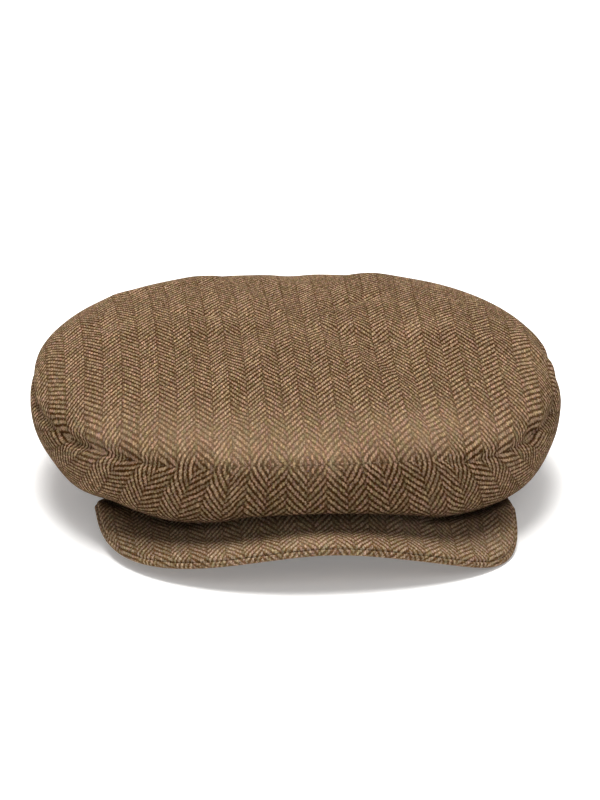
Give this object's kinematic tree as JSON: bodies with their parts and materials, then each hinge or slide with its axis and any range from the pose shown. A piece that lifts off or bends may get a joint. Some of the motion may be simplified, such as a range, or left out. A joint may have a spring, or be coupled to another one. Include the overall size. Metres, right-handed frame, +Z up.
{
  "type": "newsboy cap",
  "caption": "Soft herringbone wool cap: a wide puffy crown with a one-piece oval top, overhanging a stiff arched cloth-covered visor that flexes on its sewn seam; lined, with a sweatband.",
  "frame": {"origin": "on the table under the middle of the cap's bounding box", "axes": "+Z up, +Y towards the back of the head, the visor points along -Y"},
  "size_m": [0.264, 0.2827, 0.0812],
  "materials": {
    "wool_crown": "brown herringbone wool tweed, slightly fuzzy",
    "wool_visor": "brown herringbone wool tweed, slightly fuzzy",
    "wool_inside": "pressed seam allowance of the same wool",
    "interlining": "soft woven interlining",
    "lining": "dark brown satin lining",
    "sweatband": "dark brown cotton twill",
    "tape": "stiff woven tape",
    "label": "plain woven label cloth, blank",
    "board": "pressed visor board",
    "felt": "thin felt padding"
  },
  "bodies": {
    "crown": {"top_panel": "wool_crown", "side_panel": "wool_crown", "top_interlining": "interlining", "side_interlining": "interlining", "seam_allowance": "wool_inside", "lining_top": "lining", "lining_side": "lining", "sweatband": "sweatband", "headband_tape": "tape", "inner_label": "label", "size_tab": "label"},
    "visor": {"visor_top_cover": "wool_visor", "visor_under_cover": "wool_visor", "visor_board": "board", "visor_padding": "felt"}
  },
  "joints": [
    {"name": "visor_flex", "type": "hinge", "parent": "crown", "child": "visor", "pos_m": [0, -0.0427, 0.0196], "axis": [1, 0, 0], "range_deg": [-1, 10], "stiffness_Nm_per_rad": 2.2}
  ]
}
